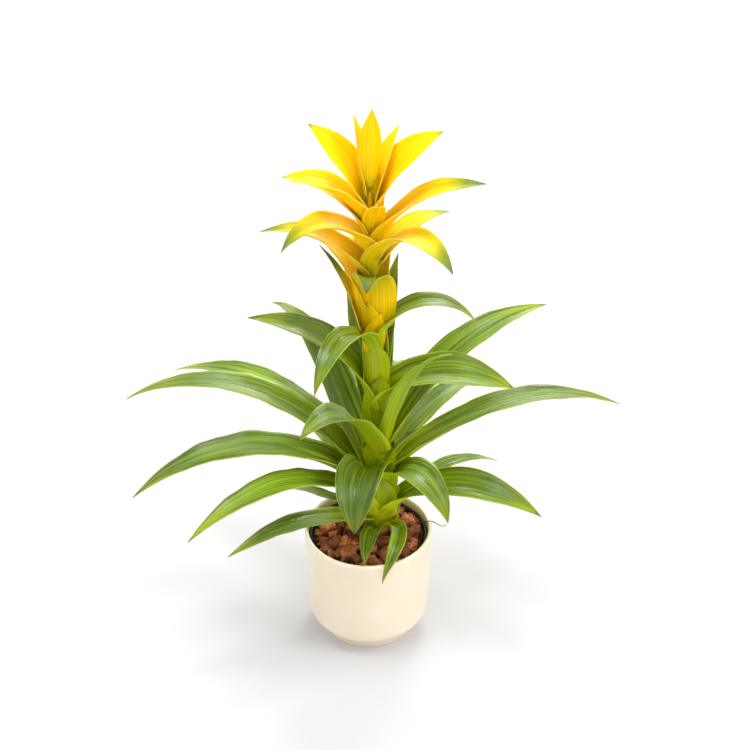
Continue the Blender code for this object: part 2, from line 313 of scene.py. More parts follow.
def read_rows(kind, table):
    rows = [line.split() for line in table.strip().splitlines()]
    return [Blade(f"{kind}_{row[0]}", *(float(cell) for cell in row[1:])) for row in rows]


leaves, bracts = read_rows("leaf", LEAVES), read_rows("bract", BRACTS)
print(len(leaves), "leaves and", len(bracts), "bracts")

# %% [markdown]
# ## The midrib
# A midrib is a line of points, and each point carries what the blade needs there: which way its side and its upper
# face look, its half width, and how far it wraps round. At the stem a leaf is a sheath, half closed, and from there
# it opens to a shallow gutter and then to a nearly flat tip. The values are stored on the points as attributes, for
# the node tree to read.

# %% Midrib
STEPS_ALONG = 72
COLLAR_TO = 0.12  # share of the length over which the base widens
SHEATH_TO = 0.42  # share of the length that is still partly wrapped
TIP_WIDTH = 0.5 * MM
FULL_FROM, FULL_TO = 0.33, 0.5  # between these shares the blade has its full width
TAPER = 1.05  # above 1 the tip narrows sooner
FLATTENS_FROM = 0.5  # from here the gutter opens out to the flat tip
RIPPLE_IN, RIPPLE_OUT = 0.3, 0.25  # shares at the base and the tip over which the ripple fades

# wraps: half of the arc that the section covers, in degrees, at the very base, above the collar, on the blade and at
# the tip; shares: width at the base and above the collar as a share of the full width; crease: depth of the fold along
# the midrib; ripple: height of the wavy margin; fullness: full width against the row's
Habit = namedtuple("Habit", "base_share collar_share base_wrap sheath_wrap blade_wrap tip_wrap"
                            " crease ripple thickness fullness")
LEAF_HABIT = Habit(0.5, 0.9, 96, 58, 26, 12, 0.18, 1.3 * MM, 0.8 * MM, 1.04)
BRACT_HABIT = Habit(0.45, 1.0, 96, 66, 38, 18, 0.05, 0.8 * MM, 0.7 * MM, 1.22)
SHEATH_HABIT = Habit(0.7, 1.0, 110, 92, 60, 30, 0.05, 0.4 * MM, 0.6 * MM, 1.0)


def smooth(value):
    value = min(1.0, max(0.0, value))
    return value * value * (3 - 2 * value)


def stem_point(height):
    """The stem's axis at a height above the bark."""
    return STEM_FOOT.lerp(STEM_TIP, height / (STEM_TIP.z - STEM_FOOT.z))


def stem_radius(height):
    return STEM_RADIUS + (STEM_TIP_RADIUS - STEM_RADIUS) * height / (STEM_TIP.z - STEM_FOOT.z)


def half_width(blade, habit, along):
    full = blade.width * habit.fullness * MM
    if along < FULL_FROM:
        share = habit.base_share + (habit.collar_share - habit.base_share) * smooth(along / COLLAR_TO)
        return full * (share + (1 - share) * smooth(along / FULL_FROM)) / 2
    closing = math.cos(math.pi / 2 * max(0.0, along - FULL_TO) / (1 - FULL_TO)) ** TAPER
    return (TIP_WIDTH + (full - TIP_WIDTH) * closing) / 2


def midrib(blade, habit):
    """A line mesh along the blade, whose points carry side, upper, half, wrap, ripple and run."""
    height = blade.height * MM
    heading = math.radians(blade.azimuth)
    outward = Vector((math.cos(heading), math.sin(heading), 0.0))
    point = stem_point(height) + outward * (stem_radius(height) + STEM_GAP + habit.thickness / 2)
    step = blade.length * MM / STEPS_ALONG
    points, values = [], {name: [] for name in ("side", "upper", "half", "wrap", "ripple", "run")}
    for i in range(STEPS_ALONG + 1):
        along = i / STEPS_ALONG
        bent = max(0.0, along + (0.5 / STEPS_ALONG) - 0.5 / CAD_STEPS)
        pitch = math.radians(blade.rise + (blade.droop - blade.rise) * bent ** blade.bend)
        turn = math.radians(blade.azimuth + blade.swing * bent)
        roll = math.radians(blade.roll * along)
        forward = Vector((math.cos(pitch) * math.cos(turn), math.cos(pitch) * math.sin(turn), math.sin(pitch)))
        side = Vector((-math.sin(turn), math.cos(turn), 0.0))
        upper = forward.cross(side)
        side, upper = (side * math.cos(roll) + upper * math.sin(roll),
                       upper * math.cos(roll) - side * math.sin(roll))
        wrap = habit.base_wrap + (habit.sheath_wrap - habit.base_wrap) * smooth(along / COLLAR_TO)
        wrap += (habit.blade_wrap - habit.sheath_wrap) * smooth((along - COLLAR_TO) / (SHEATH_TO - COLLAR_TO))
        wrap += (habit.tip_wrap - habit.blade_wrap) * smooth((along - FLATTENS_FROM) / (1 - FLATTENS_FROM))
        points.append(point.copy())
        for name, value in (("side", side), ("upper", upper), ("half", half_width(blade, habit, along)),
                            ("wrap", math.radians(wrap)), ("run", i * step / MM),
                            ("ripple", habit.ripple * smooth(along / RIPPLE_IN) * smooth((1 - along) / RIPPLE_OUT))):
            values[name].append(value)
        point = point + forward * step
    line = bpy.data.meshes.new(f"{blade.name}_midrib")
    line.from_pydata(points, [(i, i + 1) for i in range(STEPS_ALONG)], [])
    for name, row in values.items():
        is_vector = name in ("side", "upper")
        stored = line.attributes.new(name, "FLOAT_VECTOR" if is_vector else "FLOAT", "POINT")
        flat = [c for v in row for c in v] if is_vector else row
        stored.data.foreach_set("vector" if is_vector else "value", flat)
    return line


print("midrib points per blade:", STEPS_ALONG + 1)

# %% [markdown]
# ## The blade tree
# The surface of a blade follows a rule, so Geometry Nodes make it. A flat grid is laid out with one row of points per
# midrib point. Each point looks up its midrib point by its row number, then moves out along an arc: sideways by the
# sine and up by the rest. Noise along each margin gives a slight ripple. The same tree serves leaves and bracts, with
# other numbers in its inputs.


# %% Blade tree
RIPPLE_MM = 26.0  # the margin rises and falls about once in this length
RIPPLE_GAIN = 4.0  # noise seldom leaves its middle, so it is stretched
FOLD_ROUND, FOLD_DEPTH = 0.006, 0.0775  # rounds the fold along the midrib and starts it from nought
SEED_SPREAD = 7.3  # keeps one blade's veins apart from the next one's


def blade_tree():
    """Builds the tree. Each row of a sum table is a name, what is done, and the values that it is done with."""
    tree, given = new_tree("blade", "Blade", (
        ("Midrib", "Geometry", None), ("Steps along", "Int", STEPS_ALONG), ("Cells across", "Int", 14),
        ("Full half width", "Float", 0.02), ("Crease", "Float", 0.1), ("Tone", "Float", 0.5),
        ("Seed", "Float", 0.0), ("Finish", "Material", None)))
    made = {socket.name: socket for socket in given}
    made["index"] = add(tree, "GeometryNodeInputIndex")

    # Where a point of the grid lies: its row along the blade, and across from -1 to 1
    for name, operation, *values in (
            ("rows", "ADD", "Steps along", 1.0), ("columns", "ADD", "Cells across", 1.0),
            ("middle", "ADD", "index", 0.5), ("part", "DIVIDE", "middle", "columns"), ("row", "FLOOR", "part"),
            ("passed", "MULTIPLY", "row", "columns"), ("column", "SUBTRACT", "index", "passed"),
            ("doubled", "MULTIPLY", "column", 2.0), ("share", "DIVIDE", "doubled", "Cells across"),
            ("across", "SUBTRACT", "share", 1.0), ("which side", "SIGN", "across")):
        made[name] = add(tree, "ShaderNodeMath", [made.get(value, value) for value in values], operation=operation)
    grid = add(tree, "GeometryNodeMeshGrid", {"Size X": 1.0, "Size Y": 1.0, "Vertices X": made["rows"],
                                              "Vertices Y": made["columns"]})

    # What its midrib point says
    for name, kind in (("position", "FLOAT_VECTOR"), ("side", "FLOAT_VECTOR"), ("upper", "FLOAT_VECTOR"),
                       ("half", "FLOAT"), ("wrap", "FLOAT"), ("ripple", "FLOAT"), ("run", "FLOAT")):
        if name == "position":
            field = add(tree, "GeometryNodeInputPosition")
        else:
            field = add(tree, "GeometryNodeInputNamedAttribute", {"Name": name}, data_type=kind)
        made[name] = add(tree, "GeometryNodeSampleIndex", {
            "Geometry": given["Midrib"], "Value": field, "Index": made["row"]}, data_type=kind)
    spread = add(tree, "ShaderNodeCombineXYZ", (made["run"], made["which side"], given["Seed"]))
    waves = add(tree, "ShaderNodeVectorMath", (spread, (RIPPLE_MM, 1.0, 1.0)), operation="DIVIDE")
    made["wave"] = add(tree, "ShaderNodeTexNoise", {"Vector": waves, "Scale": 1.0, "Detail": 1.0})

    # How far it moves: sideways and up round the arc, up the crease, and up or down with the ripple
    for name, operation, *values in (
            ("radius", "DIVIDE", "half", "wrap"), ("angle", "MULTIPLY", "wrap", "across"),
            ("sine", "SINE", "angle"), ("sideways", "MULTIPLY", "radius", "sine"),
            ("cosine", "COSINE", "angle"), ("drop", "SUBTRACT", 1.0, "cosine"), ("arc", "MULTIPLY", "radius", "drop"),
            ("squared", "MULTIPLY", "across", "across"), ("softened", "ADD", "squared", FOLD_ROUND),
            ("root", "SQRT", "softened"), ("fold", "SUBTRACT", "root", FOLD_DEPTH),
            ("deep", "MULTIPLY", "half", "Crease"), ("creased", "MULTIPLY", "deep", "fold"),
            ("cupped", "ADD", "arc", "creased"), ("swing", "SUBTRACT", "wave", 0.5),
            ("at margin", "MULTIPLY", "squared", RIPPLE_GAIN), ("swell", "MULTIPLY", "swing", "at margin"),
            ("rise", "MULTIPLY", "swell", "ripple"), ("lift", "ADD", "cupped", "rise"),
            ("over", "MULTIPLY", "across", "Full half width"), ("over in mm", "MULTIPLY", "over", 1 / MM),
            ("own shift", "MULTIPLY", "Seed", SEED_SPREAD)):
        made[name] = add(tree, "ShaderNodeMath", [made.get(value, value) for value in values], operation=operation)
    beside = add(tree, "ShaderNodeVectorMath", {0: made["side"], "Scale": made["sideways"]}, operation="SCALE")
    above = add(tree, "ShaderNodeVectorMath", {0: made["upper"], "Scale": made["lift"]}, operation="SCALE")
    offset = add(tree, "ShaderNodeVectorMath", (beside, above), operation="ADD")
    place = add(tree, "ShaderNodeVectorMath", (made["position"], offset), operation="ADD")
    grain = add(tree, "ShaderNodeCombineXYZ", (made["run"], made["over in mm"], made["own shift"]))

    surface = grid.outputs["Mesh"]
    for name, value, kind, domain in (("UVMap", grid.outputs["UV Map"], "FLOAT2", "CORNER"),
                                      ("grain", grain, "FLOAT_VECTOR", "POINT"),
                                      ("tone", given["Tone"], "FLOAT", "POINT")):
        surface = add(tree, "GeometryNodeStoreNamedAttribute", {"Geometry": surface, "Name": name, "Value": value},
                      data_type=kind, domain=domain)
    surface = add(tree, "GeometryNodeSetPosition", {"Geometry": surface, "Position": place})
    surface = add(tree, "GeometryNodeRealizeInstances", {"Geometry": surface})
    surface = add(tree, "GeometryNodeSetMaterial", {"Geometry": surface, "Material": given["Finish"]})
    add(tree, "NodeGroupOutput", {"Blade": surface})
    return tree


BLADE_TREE = blade_tree()
print("nodes in the blade tree:", len(BLADE_TREE.nodes))

# %% [markdown]
# ## Growing the blades
# A modifier's inputs are filled by each socket's identifier, then the evaluated result becomes a plain mesh. The
# blade gets its thickness last, from Solidify, which also gives the lower face its own, more yellow tissue.


# %% Grow one blade
def made_by_nodes(name, source, tree, inputs):
    """The mesh that a Geometry Nodes tree makes from a source mesh."""
    carrier = link_piece(name + "_source", source)
    modifier = carrier.modifiers.new("nodes", "NODES")
    modifier.node_group = tree
    sockets = {item.name: item.identifier for item in tree.interface.items_tree if item.in_out == "INPUT"}
    for key, value in inputs.items():
        modifier[sockets[key]] = value
    graph = bpy.context.evaluated_depsgraph_get()
    mesh = bpy.data.meshes.new_from_object(carrier.evaluated_get(graph), depsgraph=graph)
    mesh.name = name
    carrier.modifiers.remove(modifier)
    bpy.data.objects.remove(carrier)
    return mesh


SEED_BY_AZIMUTH, SEED_BY_HEIGHT = 0.11, 0.013  # any odd steps do: they give each blade its own veins
TONE_STEPS = (0.37, 0.091, 0.05)  # likewise for the tone


def grow(blade, habit, tone, upper, lower, slot, *nodes):
    mesh = made_by_nodes(blade.name + "_blade", midrib(blade, habit), BLADE_TREE, {
        "Full half width": blade.width * MM / 2, "Crease": habit.crease, "Tone": tone,
        "Seed": blade.azimuth * SEED_BY_AZIMUTH + blade.height * SEED_BY_HEIGHT, "Finish": upper})
    mesh.materials.clear()
    mesh.materials.append(upper)
    mesh.materials.append(lower)
    mesh.shade_smooth()
    piece = link_piece(mesh.name, mesh)
    solid = piece.modifiers.new("thickness", "SOLIDIFY")
    solid.thickness = habit.thickness
    solid.offset = 0.0
    solid.material_offset = 1
    declare(piece, slot, *nodes)


def tone_of(blade):
    """A steady tone for each blade, from 0 dark to 1 light."""
    by_azimuth, by_height, by_length = TONE_STEPS
    return 0.5 + 0.5 * noise.noise(Vector((blade.azimuth * by_azimuth, blade.height * by_height,
                                           blade.length * by_length)))


GREEN_TIPS_BELOW = 316  # bracts that leave the stem below this height, in mm, keep green tips
for blade in leaves:
    grow(blade, LEAF_HABIT, tone_of(blade), leaf_top, leaf_back, "leaf", blade.name)
for blade in bracts:
    upper = bract_green_tip if blade.height < GREEN_TIPS_BELOW else bract_gold
    grow(blade, BRACT_HABIT, tone_of(blade), upper, upper, "bract", blade.name)
print("blades grown:", len(leaves) + len(bracts))

# %% [markdown]
# ## Stem sheaths
# Between the leaves and the flower head the stem is not bare. Short pointed sheaths clasp it one above another, green
# low down and yellow higher up. They follow the same rule as the blades, with a tighter wrap, so the same tree grows
# them. They are too thin and too close for the solid model, which leaves them out.

# %% Stem sheaths
SHEATHS = """
01 268  58 66 40 86 84
02  92  70 66 38 86 84
03 250  92 66 36 87 84
04  60 112 64 34 87 84
05 285 124 66 34 87 84
06 110 148 62 32 87 84
07 262 162 66 32 88 84
08  80 186 60 30 88 84
09 300 200 56 30 88 82
10 230 216 50 28 88 82
11 282   3 74 50 86 80
12  95   4 70 48 86 80
13 232  14 72 48 86 82
14 330  20 70 46 86 82
15 265  34 66 44 86 82
"""
# Sheath tissue: pale, smooth and a little shiny, yellow-green because it sees little light
sheath_green = blade_finish(
    "stem_sheath_green", [(0.0, "#bcc010"), (0.3, "#b8c004"), (0.8, "#a2b400"), (1.0, "#7c9600")],
    "#c8cc40", 0.12, (0.36, 0.5), 0.08, 0.0, 0.3, tones=0.1)
sheaths = read_rows("stem_sheath", SHEATHS)
GOLD_ABOVE = 190  # sheaths that start above this height, in mm, are yellow
for blade in sheaths:
    skin = bract_gold if blade.height > GOLD_ABOVE else sheath_green
    grow(blade, SHEATH_HABIT, 0.5, skin, skin, "leaf")
print("stem sheaths grown:", len(sheaths))

# %% [markdown]
# ## Cover pot
# The pot is earthenware, cast in a mould and dipped in a cream glaze. It is round, so its outline is turned about the
# axis: a straight wall that widens a little, a rounded shoulder low down, a short tapered foot, and a soft lip. A
# lathe outline with many steps round keeps the silhouette smooth. The glaze is satin: it gives broad soft highlights
# and shows very faint clouding. The top of the lip is painted paler: partly thinner glaze, partly a painted highlight
# where the lip faces the lamps above.

# %% Glaze
glaze, tree, shader = new_finish("cream_satin_glaze")
where = add(tree, "ShaderNodeTexCoord").outputs["Object"]
CLOUD_MM = 38  # size of the faint patches where the glaze ran thicker
PINHOLE_MM = 1.6  # orange-peel of the glaze, about 1 mm in life: drawn a little coarser
LIP_FROM, LIP_TO = 116.5 * MM, 119.5 * MM  # heights between which the top of the lip is painted paler: partly thinner glaze, partly a painted highlight
cloud = add(tree, "ShaderNodeTexNoise", {"Vector": where, "Scale": 1 / (CLOUD_MM * MM), "Detail": 3.0})
body = add(tree, "ShaderNodeValToRGB", {"Fac": cloud}, [(0.3, "#eddec2"), (0.7, "#f3e5ce")])
height = add(tree, "ShaderNodeSeparateXYZ", (where,)).outputs["Z"]
# Painted highlight: the top of the lip is mixed towards pale cream, partly for thinner glaze, partly for the light
# falling on it from above
lip = add(tree, "ShaderNodeMapRange", (height, LIP_FROM, LIP_TO, 0.0, 0.7))
glazed = add(tree, "ShaderNodeMix", {0: lip, 6: body, 7: linear("#fbf3dd")}, data_type="RGBA")
sheen = add(tree, "ShaderNodeMapRange", (cloud, 0.3, 0.7, 0.30, 0.38))
peel = add(tree, "ShaderNodeTexNoise", {"Vector": where, "Scale": 1 / (PINHOLE_MM * MM), "Detail": 2.0})
bump = add(tree, "ShaderNodeBump", {"Height": peel, "Strength": 0.25, "Distance": 0.05 * MM})
fill(tree, shader, {
    "Base Color": glazed.outputs[2], "Roughness": sheen, "Normal": bump, "IOR": 1.5, "Coat Weight": 0.3,
    "Coat Roughness": 0.12, "Subsurface Weight": 0.08, "Subsurface Scale": 1.5 * MM})
print("glaze clouds:", CLOUD_MM, "mm")


# %% Turn the pot
def arc(centre_r, centre_z, radius, start, end, steps):
    """Points on an arc in the outline, from one angle to the other in degrees."""
    angles = [math.radians(start + (end - start) * i / steps) for i in range(steps + 1)]
    return [(centre_r + radius * math.cos(a), centre_z + radius * math.sin(a)) for a in angles]


def divided(points, longest):
    """The same outline with its long straight runs cut up, so that no face is far longer than its neighbours."""
    result = [points[0]]
    for (r0, z0), (r1, z1) in zip(points, points[1:]):
        pieces = max(1, math.ceil(math.hypot(r1 - r0, z1 - z0) / longest))
        result += [(r0 + (r1 - r0) * k / pieces, z0 + (z1 - z0) * k / pieces) for k in range(1, pieces + 1)]
    return result


WOBBLE_PER_M = 22  # a thrown or cast wall is never quite round: it swells about every 45 mm


def turned(name, outline, material, steps=128, wobble=0.0):
    """A solid of revolution from an outline of (radius, height) that starts and ends on the axis."""
    bm = bmesh.new()
    line = [bm.verts.new((r, 0.0, z)) for r, z in outline]
    edges = [bm.edges.new(pair) for pair in zip(line, line[1:])]
    bmesh.ops.spin(bm, geom=line + edges, cent=(0, 0, 0), axis=(0, 0, 1), angle=math.tau, steps=steps)
    bmesh.ops.remove_doubles(bm, verts=bm.verts, dist=0.01 * MM)
    bmesh.ops.dissolve_degenerate(bm, edges=bm.edges, dist=0.001 * MM)
    bmesh.ops.recalc_face_normals(bm, faces=bm.faces)
    for vert in bm.verts:
        if wobble:
            push = noise.noise(vert.co * WOBBLE_PER_M) * wobble
            outward = Vector((vert.co.x, vert.co.y, 0.0))
            vert.co += outward * (push / max(outward.length, 1 * MM))
    return shaped_piece(name, bm, material)


POT_TOP, POT_WALL, POT_FLOOR = 120 * MM, 4 * MM, 6 * MM
RIM_R, SHOULDER_R, FOOT_R = 64.5 * MM, 62 * MM, 48 * MM
SHOULDER_Z, SHOULDER_ROUND, LIP = 27 * MM, 16 * MM, 1.8 * MM
FLOOR_ROUND = 4 * MM  # fillet between the inner floor and the wall
FOOT_TOP, FOOT_FLARE, FOOT_EDGE = 5.4 * MM, 1.2 * MM, 1.4 * MM
FOOT_RING, FOOT_HOLLOW = 6.5 * MM, 1.5 * MM  # the pot stands on a ring, and is hollow inside it
floor_r = FOOT_R - POT_WALL - FLOOR_ROUND
outline = [(0.0, POT_FLOOR), (floor_r, POT_FLOOR)]
outline += arc(floor_r, POT_FLOOR + FLOOR_ROUND, FLOOR_ROUND, -90, -45, 4)[1:]
outline += [(SHOULDER_R - POT_WALL, SHOULDER_Z), (RIM_R - POT_WALL, POT_TOP - LIP)]
outline += arc(RIM_R - POT_WALL + LIP, POT_TOP - LIP, LIP, 180, 90, 6)[1:]
outline += arc(RIM_R - LIP, POT_TOP - LIP, LIP, 90, 0, 6)
outline += arc(SHOULDER_R - SHOULDER_ROUND, SHOULDER_Z, SHOULDER_ROUND, 0, -52, 12)
outline += [(FOOT_R + FOOT_FLARE, FOOT_TOP), (FOOT_R + 0.5 * MM, 4.4 * MM), (FOOT_R, 2.6 * MM)]
outline += arc(FOOT_R - FOOT_EDGE, FOOT_EDGE, FOOT_EDGE, 0, -90, 4)
outline += [(FOOT_R - 5 * MM, 0.0), (FOOT_R - FOOT_RING, FOOT_HOLLOW), (0.0, FOOT_HOLLOW)]
pot = turned("cover_pot_turned", divided(outline, 4 * MM), glaze, wobble=0.25 * MM)
declare(pot, "cover_pot", "cover_pot")
print("cover pot faces:", len(pot.data.polygons))

# %% [markdown]
# ## Nursery pot
# Inside stands the thin pot that the plant was grown in. Only its rim shows, as a dark ring between the glaze and the
# bark. It is moulded from black-brown polypropylene, so it is matt with a fine grain, and its rim is rolled.

# %% Nursery pot
plastic, tree, shader = new_finish("polypropylene_moulded_dark")
where = add(tree, "ShaderNodeTexCoord").outputs["Object"]
GRAIN_MM = 0.9  # spark-eroded mould grain, about 0.2 mm in life: coarsened so that it shows
grain = add(tree, "ShaderNodeTexNoise", {"Vector": where, "Scale": 1 / (GRAIN_MM * MM), "Detail": 3.0})
body = add(tree, "ShaderNodeValToRGB", {"Fac": grain}, [(0.3, "#1b1613"), (0.7, "#2b2420")])
bump = add(tree, "ShaderNodeBump", {"Height": grain, "Strength": 0.4, "Distance": 0.1 * MM})
rough = add(tree, "ShaderNodeMapRange", (grain, 0.3, 0.7, 0.46, 0.58))
fill(tree, shader, {"Base Color": body, "Normal": bump, "Roughness": rough, "IOR": 1.49})
LINER_BASE, LINER_H, LINER_WALL = 6.3 * MM, 106 * MM, 1.2 * MM
LINER_FOOT_R, LINER_TOP_R = 40 * MM, 58.5 * MM
top = LINER_BASE + LINER_H
outline = [(0.0, LINER_BASE + LINER_WALL), (LINER_FOOT_R - LINER_WALL, LINER_BASE + LINER_WALL)]
BEAD, NECK = 1.3 * MM, 3 * MM  # radius of the rolled rim, and where the wall goes into it
outline += [(LINER_TOP_R - LINER_WALL - 0.6 * MM, top - NECK)]
outline += arc(LINER_TOP_R - 0.4 * MM, top - 1.1 * MM, BEAD, 200, -60, 12)
outline += [(LINER_TOP_R - 0.7 * MM, top - NECK), (LINER_FOOT_R, LINER_BASE), (0.0, LINER_BASE)]
liner = turned("nursery_pot_turned", divided(outline, 5 * MM), plastic, steps=96)
declare(liner, "nursery_pot", "nursery_pot")
print("nursery pot faces:", len(liner.data.polygons))

# %% [markdown]
# ## Bark
# Bromeliads grow in chopped bark: blocky, reddish-brown chips about a centimetre across, dark where they are damp.
# Below them lies finer, darker crumb, painted darker still: painted shade for the gaps between the chips. The
# crumb is a bumpy disc. The chips repeat, so Geometry Nodes scatter one small block over the disc, each turned and
# stretched its own way, and roughen them afterwards by where they lie, so that no two keep the same shape.

# %% Bark finish
bark, tree, shader = new_finish("pine_bark_chopped")
where = add(tree, "ShaderNodeTexCoord").outputs["Object"]
chip_tone_and_gap_shade = add(tree, "ShaderNodeAttribute", attribute_name="chip_tone_and_gap_shade").outputs["Fac"]
FIBRE_MM = 1.5  # bark fibre, about 0.5 mm in life: drawn coarser
fibre = add(tree, "ShaderNodeTexNoise", {"Vector": where, "Scale": 1 / (FIBRE_MM * MM), "Detail": 4.0,
                                         "Roughness": 0.65})
PATCH_MM = 9  # darker and lighter patches, about the size of a chip
patch = add(tree, "ShaderNodeTexNoise", {"Vector": where, "Scale": 1 / (PATCH_MM * MM), "Detail": 2.0})
both = add(tree, "ShaderNodeMath", (fibre, patch), operation="ADD")
mixed = add(tree, "ShaderNodeMath", (both, 0.5), operation="MULTIPLY")
body = add(tree, "ShaderNodeValToRGB", {"Fac": mixed},
           [(0.32, "#4a2414"), (0.44, "#93502f"), (0.56, "#bb7248"), (0.70, "#d9a680")])
# Each chip's own tone; the crumb's low values paint it nearly black, painted shade for the gaps between the chips
lightness = add(tree, "ShaderNodeMapRange", (chip_tone_and_gap_shade, 0, 1, 0.03, 1.9))
toned = add(tree, "ShaderNodeHueSaturation", {"Color": body, "Value": lightness})
bump = add(tree, "ShaderNodeBump", {"Height": mixed, "Strength": 0.8, "Distance": 0.7 * MM})
fill(tree, shader, {"Base Color": toned, "Normal": bump, "Roughness": 0.85, "Specular IOR Level": 0.3})
print("bark fibre:", FIBRE_MM, "mm")

# %% Crumb under the chips
SOIL_LEVEL, SOIL_R, SOIL_FOOT_R = 110 * MM, 56.8 * MM, 38.5 * MM
SOIL_BASE = LINER_BASE + LINER_WALL + 0.4 * MM
LUMPS_PER_M, GRIT_PER_M, SHADES_PER_M = 150, 420, 300  # about 7, 2.5 and 3 mm from one to the next
LUMP_HEIGHT, SINK = 1.6 * MM, 1.2 * MM
outline = [(0.0, SOIL_LEVEL), (SOIL_R, SOIL_LEVEL), (SOIL_FOOT_R, SOIL_BASE), (0.0, SOIL_BASE)]
crumb = turned("bark_crumb", divided(outline, 2.2 * MM), bark, steps=110)
for vert in crumb.data.vertices:
    if vert.co.z > SOIL_LEVEL - 0.1 * MM:
        coarse = noise.noise(vert.co * LUMPS_PER_M) + 0.6 * noise.noise(vert.co * GRIT_PER_M)
        vert.co.z += coarse * LUMP_HEIGHT - SINK
# Painted shade: the crumb gets very low values, so it shows nearly black, as the shade that lies between the chips
shades = crumb.data.attributes.new("chip_tone_and_gap_shade", "FLOAT", "POINT")
shades.data.foreach_set("value", [0.04 + 0.15 * noise.noise(v.co * SHADES_PER_M) for v in crumb.data.vertices])
declare(crumb, "bark_mix", "bark_mix")
print("crumb faces:", len(crumb.data.polygons))


# %% Chip tree
MOST_PER_M2 = 90000.0  # more than the spacing lets in, so the spacing alone decides
BLOCK = (1.0, 0.8, 0.62)  # a chip's length, width and thickness before it is stretched
TILT = 0.5  # radians that a chip may tip either way
DENTS_PER_M = 170.0  # the dents that break a block's faces lie about 6 mm apart


def chip_tree():
    tree, given = new_tree("bark_chips", "Chips", (
        ("Bed", "Geometry", None), ("Spacing", "Float", 7 * MM), ("Size", "Float", 10 * MM),
        ("Roughening", "Float", 2 * MM), ("Seed", "Int", 0), ("Finish", "Material", None)))
    spots = add(tree, "GeometryNodeDistributePointsOnFaces", {
        "Mesh": given["Bed"], "Distance Min": given["Spacing"], "Density Max": MOST_PER_M2,
        "Seed": given["Seed"]}, distribute_method="POISSON")
    block = add(tree, "GeometryNodeMeshCube", {"Size": BLOCK, "Vertices X": 4, "Vertices Y": 3, "Vertices Z": 3})
    turn = add(tree, "FunctionNodeRandomValue", {0: (-TILT, -TILT, 0.0), 1: (TILT, TILT, math.tau),
                                                 "Seed": given["Seed"]}, data_type="FLOAT_VECTOR")
    other_seed = add(tree, "ShaderNodeMath", (given["Seed"], 5.0), operation="ADD")
    stretch = add(tree, "FunctionNodeRandomValue", {0: (0.6, 0.6, 0.6), 1: (1.35, 1.2, 1.2), "Seed": other_seed},
                  data_type="FLOAT_VECTOR")
    size = add(tree, "ShaderNodeVectorMath", {0: stretch, "Scale": given["Size"]}, operation="SCALE")
    laid = add(tree, "GeometryNodeInstanceOnPoints", {"Points": spots.outputs["Points"], "Instance": block,
                                                      "Rotation": turn, "Scale": size})
    shade = add(tree, "FunctionNodeRandomValue", {2: 0.25, 3: 1.0, "Seed": given["Seed"]}, data_type="FLOAT")
    toned = add(tree, "GeometryNodeStoreNamedAttribute", {
        "Geometry": laid, "Name": "chip_tone_and_gap_shade", "Value": shade.outputs[1]}, data_type="FLOAT", domain="INSTANCE")
    loose = add(tree, "GeometryNodeRealizeInstances", {"Geometry": toned})
    place = add(tree, "GeometryNodeInputPosition")
    rough = add(tree, "ShaderNodeTexNoise", {"Vector": place, "Scale": DENTS_PER_M, "Detail": 2.0})
    centred = add(tree, "ShaderNodeVectorMath", (rough.outputs["Color"], (0.5, 0.5, 0.5)), operation="SUBTRACT")
    push = add(tree, "ShaderNodeVectorMath", {0: centred, "Scale": given["Roughening"]}, operation="SCALE")
    shaped = add(tree, "GeometryNodeSetPosition", {"Geometry": loose, "Offset": push})
    done = add(tree, "GeometryNodeSetMaterial", {"Geometry": shaped, "Material": given["Finish"]})
    add(tree, "NodeGroupOutput", {"Chips": done})
    return tree


CHIP_TREE = chip_tree()
print("nodes in the chip tree:", len(CHIP_TREE.nodes))


# %% Scatter the chips
def bed(inner, outer, height, steps=48):
    """A flat ring to scatter on."""
    bm = bmesh.new()
    rings = [[bm.verts.new((r * math.cos(math.tau * k / steps), r * math.sin(math.tau * k / steps), height))
              for k in range(steps)] for r in (inner, outer)]
    for k in range(steps):
        n = (k + 1) % steps
        bm.faces.new((rings[0][k], rings[1][k], rings[1][n], rings[0][n]))
    mesh = bpy.data.meshes.new("chip_bed")
    bm.to_mesh(mesh)
    bm.free()
    return mesh


BED_HOLE = 9 * MM  # no chips are laid where the stem comes out
DENT_SHARE = 0.035  # depth of the dents as a share of a chip's size
for name, outer, height, spacing, size, seed in (("bark_chips_lower", 50, 109.0, 11.0, 10.5, 4),
                                                 ("bark_chips_upper", 48, 112.5, 15.0, 12.0, 11),
                                                 ("bark_crumbs_loose", 54, 110.5, 8.0, 4.0, 23)):
    mesh = made_by_nodes(name, bed(BED_HOLE, outer * MM, height * MM), CHIP_TREE, {
        "Spacing": spacing * MM, "Size": size * MM, "Roughening": size * DENT_SHARE * MM, "Seed": seed, "Finish": bark})
    piece = link_piece(name, mesh)
    declare(piece, "bark_chip")
    print(name, "faces:", len(mesh.polygons))

# %% [markdown]
# ## Single chips
# Six larger chips lie where the solid model has them. Each starts as a finely divided block, worn at its corners and
# then pushed about by noise in two sizes, which is how a split chip looks close up: flat faces, broken edges.


# %% Single chips
WEAR, BALL = 0.22, 0.62  # 0 leaves a sharp block, 1 makes it a ball of this radius
SHARP_EDGE, CHIP_TILT = 48, 0.14  # degrees between faces that show as an edge; radians that a chip lies askew
BREAKS_PER_M, GRAIN_PER_M = 140, 480  # about 7 mm and 2 mm from one to the next
BREAK_DEPTH, GRAIN_DEPTH = 1.3 * MM, 0.5 * MM


